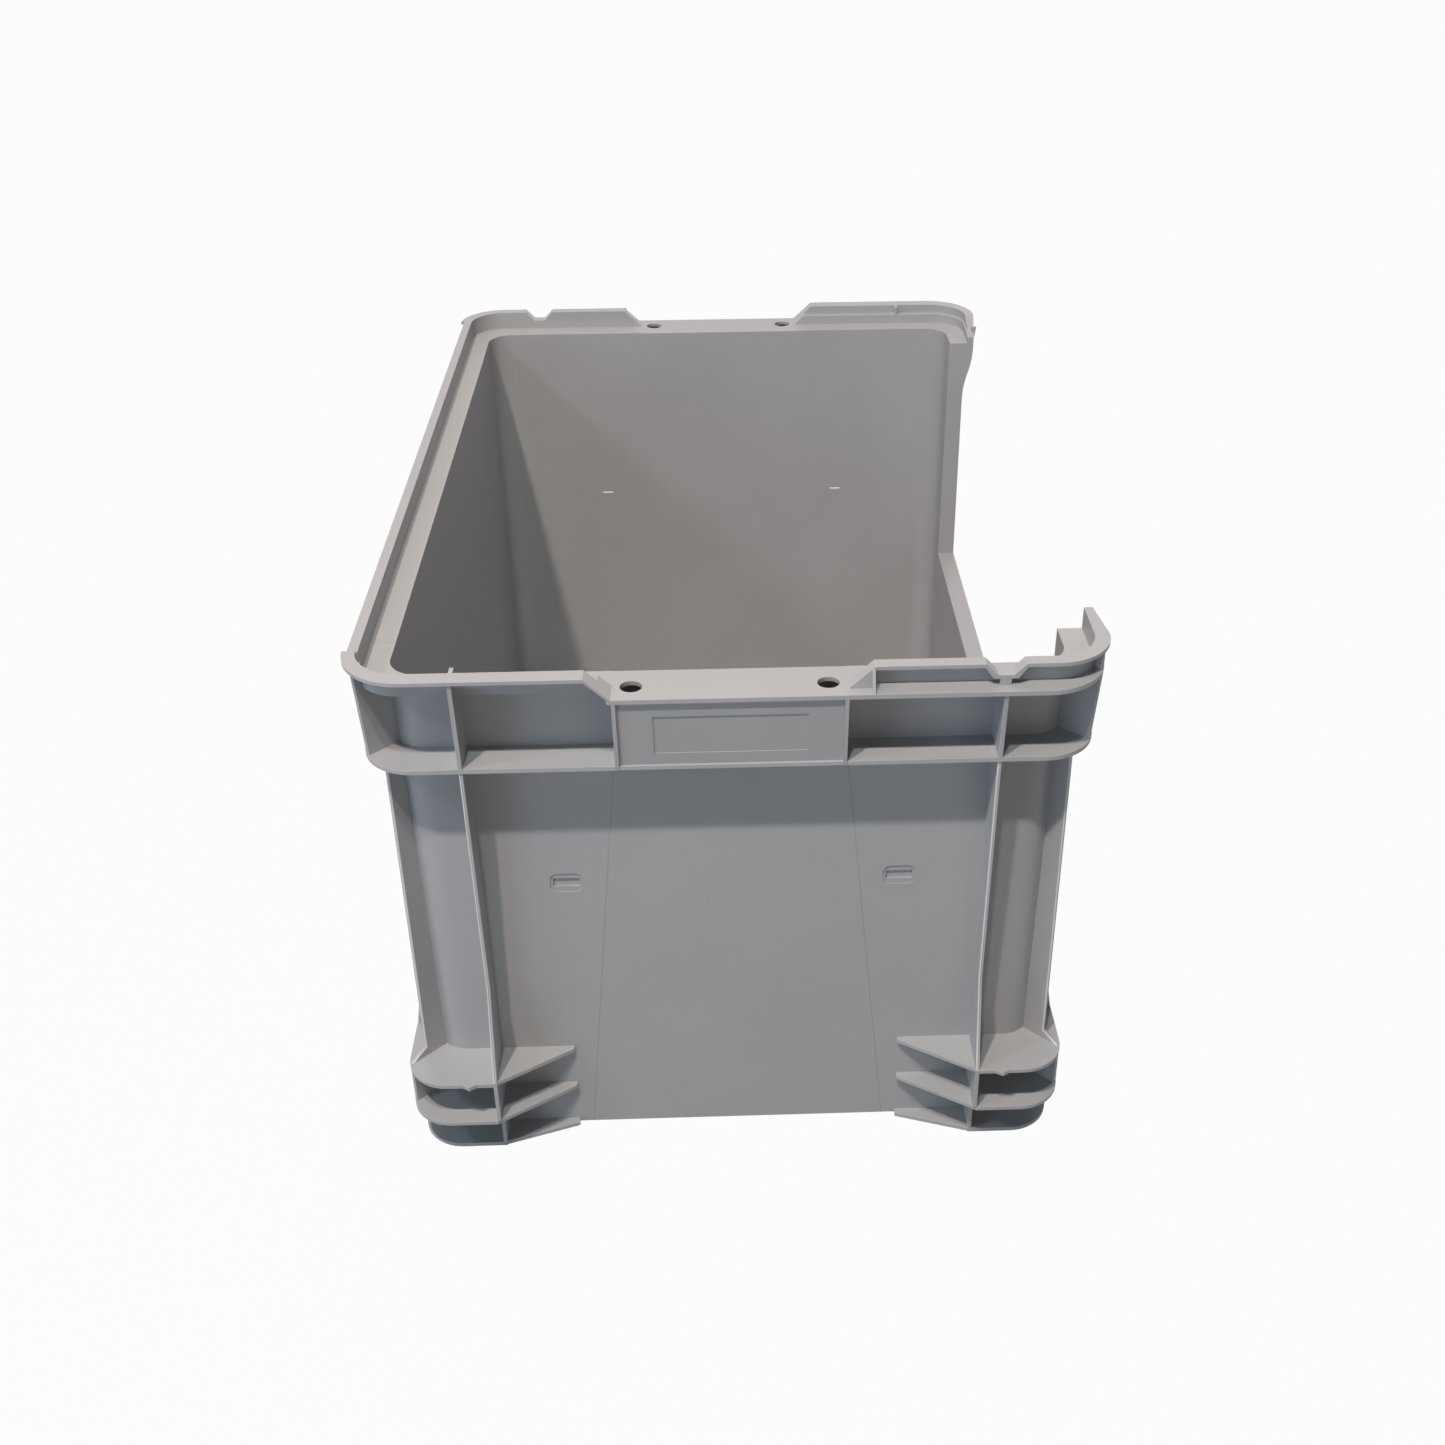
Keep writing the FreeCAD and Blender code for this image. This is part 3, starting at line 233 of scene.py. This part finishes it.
def inside_plastic(point):
    """True where a point lies in any feature's solid."""
    for tree, low, high in TREES.values():
        if any(point[i] < low[i] or point[i] > high[i] for i in range(3)):
            continue
        crossings = 0
        start = point
        while crossings < 64:
            hit = tree.ray_cast(start, RAY)[0]
            if hit is None:
                break
            crossings += 1
            start = hit + RAY * 1e-6
        if crossings % 2:
            return True
    return False


# %% [markdown]
# ## Weld and round
#
# `weld` joins the copies of some features into one mesh. It first merges the flat triangles
# into whole faces, and then deletes each pair of faces that are the same face seen from both
# sides: that is where the plastic runs through. The edges that are left are marked with a
# bevel weight where they are convex and open, and a Bevel modifier with its limit on Weight
# rounds only those. Weighted normals keep the big faces flat beside the small rounds. The new
# faces of the rounds take a paler, smoother material, whose pale colour is a painted highlight.
# Pieces with a wide round keep their own material, with no painted highlight.

# %% Weld and round
EDGE_ROUND = 0.75 * MM
LEDGE_ROUND = 2.3 * MM
REACH = 0.6 * MM
LIFT = 0.08 * MM


def open_share(edge):
    """The share of samples along an edge where the air reaches both of its faces."""
    first, second = edge.link_faces
    a, b = edge.verts[0].co, edge.verts[1].co
    along = (b - a).normalized()
    count = 5
    free = 0
    for i in range(count):
        spot = a.lerp(b, (i + 0.5) / count)
        clear = True
        for face in (first, second):
            inward = face.normal.cross(along)
            if inward.dot(face.calc_center_median() - spot) < 0:
                inward.negate()
            if inside_plastic(spot + face.normal * LIFT + inward * REACH):
                clear = False
                break
        free += clear
    return free / count


def weld(piece_name, node_names, wide_round=None, shape=None):
    """One piece from the copies of some features, with its open edges marked for rounding.

    wide_round says which edges take the ledge's round; shape changes the mesh before that.
    """
    work = bmesh.new()
    for name in node_names:
        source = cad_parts[name]
        part = bmesh.new()
        part.from_mesh(source.data)
        part.transform(source.matrix_world)
        bmesh.ops.remove_doubles(part, verts=part.verts, dist=0.002 * MM)
        bmesh.ops.dissolve_limit(part, angle_limit=math.radians(0.4), verts=part.verts, edges=part.edges)
        shared = bpy.data.meshes.new("part")
        part.to_mesh(shared)
        part.free()
        work.from_mesh(shared)
        bpy.data.meshes.remove(shared)
    bmesh.ops.remove_doubles(work, verts=work.verts, dist=0.005 * MM)
    seen = {}
    for face in work.faces:
        seen.setdefault(frozenset(v.index for v in face.verts), []).append(face)
    twins = [face for faces in seen.values() if len(faces) > 1 for face in faces]
    bmesh.ops.delete(work, geom=twins, context="FACES")
    bmesh.ops.dissolve_limit(work, angle_limit=math.radians(0.4), verts=work.verts, edges=work.edges)
    if shape is not None:
        shape(work)
    work.normal_update()
    weight = work.edges.layers.float.new("bevel_weight_edge")
    rounded = 0
    for edge in work.edges:
        if len(edge.link_faces) != 2:
            edge.smooth = False
            continue
        angle = edge.calc_face_angle_signed(0.0)
        if abs(angle) > math.radians(28):
            edge.smooth = False
        if angle > math.radians(28) and open_share(edge) >= 0.75:
            wide = wide_round is not None and wide_round(edge)
            edge[weight] = 1.0 if wide or wide_round is None else EDGE_ROUND / LEDGE_ROUND
            rounded += 1
    for face in work.faces:
        face.smooth = True
    mesh = bpy.data.meshes.new(piece_name)
    work.to_mesh(mesh)
    work.free()
    mesh.materials.append(POLYPROPYLENE_LINED if piece_name == "shell" else POLYPROPYLENE)
    # The second slot holds the edge material with the painted highlight.
    mesh.materials.append(POLYPROPYLENE_PAINTED_HIGHLIGHT)
    piece = bpy.data.objects.new(piece_name, mesh)
    bpy.context.scene.collection.objects.link(piece)
    bevel = piece.modifiers.new("rounded edges", "BEVEL")
    bevel.limit_method = "WEIGHT"
    bevel.width = LEDGE_ROUND if wide_round is not None else EDGE_ROUND
    bevel.segments = 3
    # Small rounds take the material with the painted highlight; wide rounds keep the plain plastic.
    bevel.material = 1 if wide_round is None else -1
    bevel.harden_normals = False
    bevel.use_clamp_overlap = True
    flatten = piece.modifiers.new("flat big faces", "WEIGHTED_NORMAL")
    flatten.keep_sharp = True
    flatten.weight = 90
    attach(piece, "root")
    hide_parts(*node_names)
    print(piece_name, "from", len(node_names), "features:", len(mesh.polygons), "faces,", len(twins) // 2,
          "seams welded,", rounded, "edges rounded")
    return piece


CORNERS = ("front_left", "front_right", "rear_left", "rear_right")

# %% [markdown]
# ## The shell: walls and corners
#
# The four walls, the drafted corners and the two stubs beside the picking opening are one skin
# of even thickness, so all their seams vanish in the weld.

# %% The shell
weld("shell", ["left_end_wall", "right_end_wall", "rear_wall", "front_wall", "front_wall_left_stub",
               "front_wall_right_stub"] + ["corner_wall_" + corner for corner in CORNERS])

# %% The floor and its ribs
weld("floor", ["floor_panel"])
weld("floor_grid", ["floor_ribs"])

# %% [markdown]
# ## The rim
#
# Where the walls turn out into the ledge, the mould has a round as wide as the wall is thick,
# so goods slide in without catching. Those edges are the ones round the crate's mouth.
#
# Beside the picking opening the jamb covers the ends of the rim's flange and ribs, so those are
# drawn in until they lie behind it. Small webs close the lips, one under each notch and one
# where the rear lip meets the plain one.

# %% The rim
LEDGE_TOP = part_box("ledge_rear")[1][2]
MOUTH_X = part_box("right_handle")[0][0]
MOUTH_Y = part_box("ledge_rear")[0][1]
OPENING_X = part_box("right_jamb")[0][0]
SILL_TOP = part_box("sill_flange")[1][2]
JAMB_COVER = 0.3 * MM
FRAME_Y = -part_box("sill_flange")[0][1] + JAMB_COVER
FRAME_TOP_Y = -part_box("right_jamb")[0][1] + JAMB_COVER
TUCK_REACH = 10.5 * MM
TUCK_FOOT = 50 * MM
SAME_LEVEL = 0.1 * MM
MOUTH_MARGIN = 2 * MM
LIP_CLEAR = 0.2 * MM
BAND_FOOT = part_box("channel_rear")[0][2]
HALF_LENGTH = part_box("right_handle")[1][0]
NOTCHED_LIP_INSET = 6.9 * MM
LIP_GAUGE = 2.2 * MM
NOTCH_WEB = 5.8 * MM
NOTCH_WEB_HEIGHT = 4.0 * MM
CORNER_ROUND = 35.0 * MM
STEP_RISE = 6.5 * MM
PLAIN_STEP = 3.6 * MM


def round_the_mouth(edge):
    """True for an edge of the ledge's top round the crate's mouth or across its cut ends."""
    if any(abs(v.co.z - LEDGE_TOP) > SAME_LEVEL for v in edge.verts):
        return False
    if all(abs(abs(v.co.x) - OPENING_X) < SAME_LEVEL and v.co.y < 0 for v in edge.verts):
        return True
    return all(abs(v.co.x) < MOUTH_X + MOUTH_MARGIN and abs(v.co.y) < MOUTH_Y + MOUTH_MARGIN
               for v in edge.verts)


def tuck_behind_the_jamb(work):
    """Draw the flange and ribs beside the picking opening in, so that the jamb covers them."""
    for vert in work.verts:
        x, y, z = vert.co
        if abs(x) > OPENING_X + TUCK_REACH or y > 0:
            continue
        if z < SILL_TOP + TUCK_FOOT or z > LEDGE_TOP:
            continue
        climb = min(1.0, max(0.0, (z - BAND_FOOT) / (LEDGE_TOP - BAND_FOOT)))
        vert.co.y = max(y, -(FRAME_Y + climb * (FRAME_TOP_Y - FRAME_Y)))


def add_plate(work, low, high):
    """A small upright plate between two corners."""
    corners = [work.verts.new((x, y, z)) for x in (low[0], high[0]) for y in (low[1], high[1])
               for z in (low[2], high[2])]
    for face in ((0, 1, 3, 2), (4, 6, 7, 5), (0, 4, 5, 1), (2, 3, 7, 6), (0, 2, 6, 4), (1, 5, 7, 3)):
        work.faces.new([corners[i] for i in face])


def close_the_lips(work):
    """The small webs that close the lips: under each notch, and at the rear lip's end."""
    for sign, corner in ((-1, "front_left"), (1, "rear_right")):
        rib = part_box("end_rib_" + corner)
        middle = (rib[0][1] + rib[1][1]) / 2
        edge = sign * (HALF_LENGTH - NOTCHED_LIP_INSET)
        inner = edge - sign * LIP_GAUGE
        add_plate(work, (min(edge, inner), middle - NOTCH_WEB / 2, LEDGE_TOP),
                  (max(edge, inner), middle + NOTCH_WEB / 2, LEDGE_TOP + NOTCH_WEB_HEIGHT))
    joint = -(HALF_LENGTH - CORNER_ROUND)
    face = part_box("ledge_rear")[1][1]
    add_plate(work, (joint - LIP_GAUGE / 2, face, LEDGE_TOP + STEP_RISE - LIP_GAUGE),
              (joint, face + PLAIN_STEP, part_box("lip_rear")[1][2] - LIP_CLEAR))


weld("stacking_ledge", ["ledge_" + corner for corner in CORNERS] + ["ledge_rear"],
     round_the_mouth)
weld("rim_channel", ["channel_" + corner for corner in CORNERS] + ["channel_rear"],
     shape=tuck_behind_the_jamb)
weld("grips", ["left_handle", "right_handle"], round_the_mouth)
weld("stacking_lips", ["lip_" + corner for corner in CORNERS] + ["lip_rear"],
     shape=close_the_lips)
weld("opening_frame", ["left_jamb", "right_jamb", "sill_flange"])

# %% The feet and upright ribs
weld("feet", ["foot_" + corner for corner in CORNERS])
weld("upright_ribs", [kind + "_rib_" + corner for kind in ("end", "side", "corner") for corner in CORNERS],
     shape=tuck_behind_the_jamb)

# %% [markdown]
# ## The floor of the studio
#
# A plain pale sheet that takes the crate's shadow. Where the camera, a reflection or a view
# through something looks at it, it shows as white.

# %% Studio floor and world
def looked_at(tree):
    """1 for a ray from the camera, off a shiny face or through something; 0 for stray light."""
    rays = add_node(tree, "ShaderNodeLightPath").outputs
    seen = add_node(tree, "ShaderNodeMath", {"operation": "MAXIMUM"},
                    links={0: rays["Is Camera Ray"], 1: rays["Is Glossy Ray"]})
    return add_node(tree, "ShaderNodeMath", {"operation": "MAXIMUM"},
                    links={0: seen.outputs[0], 1: rays["Is Transmission Ray"]}).outputs[0]


def studio_floor():
    material = bpy.data.materials.new("studio_paper")
    material.use_nodes = True
    tree = material.node_tree
    tree.nodes.clear()
    share = add_node(tree, "ShaderNodeMath", {"operation": "MULTIPLY"}, links={0: looked_at(tree)})
    share.inputs[1].default_value = PAPER_GLOW
    paper = add_node(tree, "ShaderNodeBsdfDiffuse", sockets={"Color": PAPER})
    glow = add_node(tree, "ShaderNodeEmission", sockets={"Color": linear("#FFFFFF"), "Strength": 1.0})
    mixed = add_node(tree, "ShaderNodeMixShader",
                     links={0: share.outputs[0], 1: paper.outputs[0], 2: glow.outputs[0]})
    add_node(tree, "ShaderNodeOutputMaterial", links={"Surface": mixed.outputs[0]})
    mesh = bpy.data.meshes.new("studio_floor")
    corners = [(x * FLOOR_HALF, y * FLOOR_HALF, FLOOR_DROP)
               for x, y in ((-1, -1), (1, -1), (1, 1), (-1, 1))]
    mesh.from_pydata(corners, [], [(0, 1, 2, 3)])
    mesh.materials.append(material)
    sheet = bpy.data.objects.new("studio_floor", mesh)
    bpy.context.scene.collection.objects.link(sheet)


def studio_world():
    world = bpy.data.worlds.new("studio")
    bpy.context.scene.world = world
    world.use_nodes = True
    tree = world.node_tree
    tree.nodes.clear()
    soft = add_node(tree, "ShaderNodeBackground", sockets={"Color": SKY_TINT, "Strength": SKY_STRENGTH})
    white = add_node(tree, "ShaderNodeBackground", sockets={"Color": linear("#FFFFFF"), "Strength": 1.0})
    shown = add_node(tree, "ShaderNodeMixShader",
                     links={0: looked_at(tree), 1: soft.outputs[0], 2: white.outputs[0]})
    add_node(tree, "ShaderNodeOutputWorld", links={"Surface": shown.outputs[0]})


PAPER = linear("#8E8E8E")
PAPER_GLOW = 0.97
FLOOR_HALF = 9.0
FLOOR_DROP = -0.5 * MM
SKY_TINT = linear("#DDE8F6")
SKY_STRENGTH = 0.06
studio_floor()
studio_world()


# %% [markdown]
# ## The lamps
#
# Two small keys high over the near end give the tops and flanges their light and the rim
# its shadow. A wide ceiling softens that. Weak lamps from the left, the right and the far end
# keep the walls readable from every side.

# %% The lamps
def softbox(name, at, towards, size, watts, tint):
    """A round area lamp at one place, turned towards another."""
    lamp = bpy.data.lights.new(name, "AREA")
    lamp.shape = "DISK"
    lamp.size = size
    lamp.energy = watts
    lamp.color = linear(tint)[:3]
    holder = bpy.data.objects.new(name, lamp)
    holder.location = at
    holder.rotation_euler = (Vector(towards) - Vector(at)).to_track_quat("-Z", "Y").to_euler()
    bpy.context.scene.collection.objects.link(holder)


CENTRE = (0.0, 0.0, 0.2)
softbox("ceiling", (0.90, 0.20, 2.40), CENTRE, 1.2, 15.0, "#FFEDE8")
softbox("key", (-1.35, 0.60, 2.65), CENTRE, 0.10, 46.0, "#FFEDE4")
softbox("second_key", (-1.35, 0.20, 2.65), CENTRE, 0.10, 24.0, "#F6FFFA")
softbox("high_from_the_left", (-0.96, 1.70, 1.80), CENTRE, 0.28, 9.0, "#E6EEFF")
softbox("cool_from_the_left", (-1.60, 1.80, 0.60), CENTRE, 1.2, 13.0, "#C8E4FF")
softbox("low_from_the_right", (-2.00, -1.10, 0.80), CENTRE, 1.2, 3.5, "#F4F6FF")
softbox("behind_the_far_end", (2.20, -1.00, 0.80), CENTRE, 1.2, 4.0, "#F4F6FF")

# %% [markdown]
# ## The camera
#
# The crate is seen from one end and from above, so that the picking opening shows on the right.

# %% The camera
lens = bpy.data.cameras.new("camera")
lens.sensor_width = 36.0
lens.lens = 43.114
lens.shift_x = -0.0340
lens.shift_y = 0.0010
camera = bpy.data.objects.new("camera", lens)
camera.location = (-1.0555, 0.0052, 0.7650)
camera.rotation_euler = [math.radians(a) for a in (58.6841, 0.2208, -92.1115)]
bpy.context.scene.collection.objects.link(camera)
bpy.context.scene.camera = camera
bpy.context.scene.view_settings.view_transform = "Standard"
